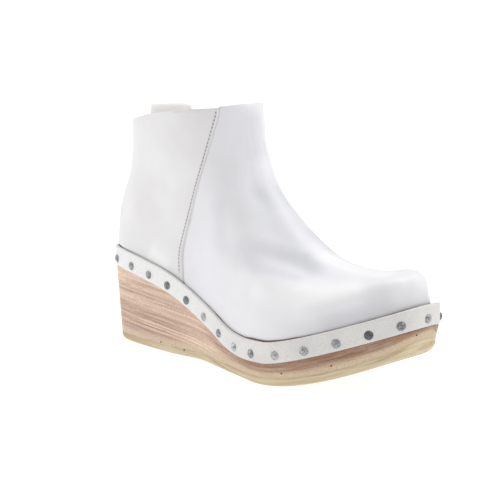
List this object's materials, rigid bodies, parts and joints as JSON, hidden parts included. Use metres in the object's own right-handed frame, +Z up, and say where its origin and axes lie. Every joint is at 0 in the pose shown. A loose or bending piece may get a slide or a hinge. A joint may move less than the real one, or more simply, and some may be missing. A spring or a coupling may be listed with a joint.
{
  "type": "wooden wedge ankle boot",
  "caption": "Right ankle boot: a pull-on leather upper open at the collar, held to a wooden wedge sole by a leather band with a row of domed nails.",
  "frame": {"origin": "middle of the flat heel rest, on the floor", "axes": "+X from heel to toe, +Y to the inner side of the foot, +Z up"},
  "size_m": [0.2595, 0.1006, 0.172],
  "materials": {
    "leather": "smooth off-white, low sheen",
    "band_leather": "off-white with a fine grain, raw edges",
    "wood": "oiled, open grain, satin",
    "sole": "matte",
    "lining": "matte",
    "nail": "aged, mottled"
  },
  "bodies": {
    "root": {"upper": "leather", "wedge": "wood", "outsole": "sole", "band": "band_leather", "insole": "lining", "pull_tab": "leather", "nail_01": "nail", "nail_02": "nail", "nail_03": "nail", "nail_04": "nail", "nail_05": "nail", "nail_06": "nail", "nail_07": "nail", "nail_08": "nail", "nail_09": "nail", "nail_10": "nail", "nail_11": "nail", "nail_12": "nail", "nail_13": "nail", "nail_14": "nail", "nail_15": "nail", "nail_16": "nail", "nail_17": "nail", "nail_18": "nail", "nail_19": "nail", "nail_20": "nail", "nail_21": "nail", "nail_22": "nail", "nail_23": "nail", "nail_24": "nail", "nail_25": "nail", "nail_26": "nail", "nail_27": "nail", "nail_28": "nail", "nail_29": "nail", "nail_30": "nail"}
  },
  "joints": []
}
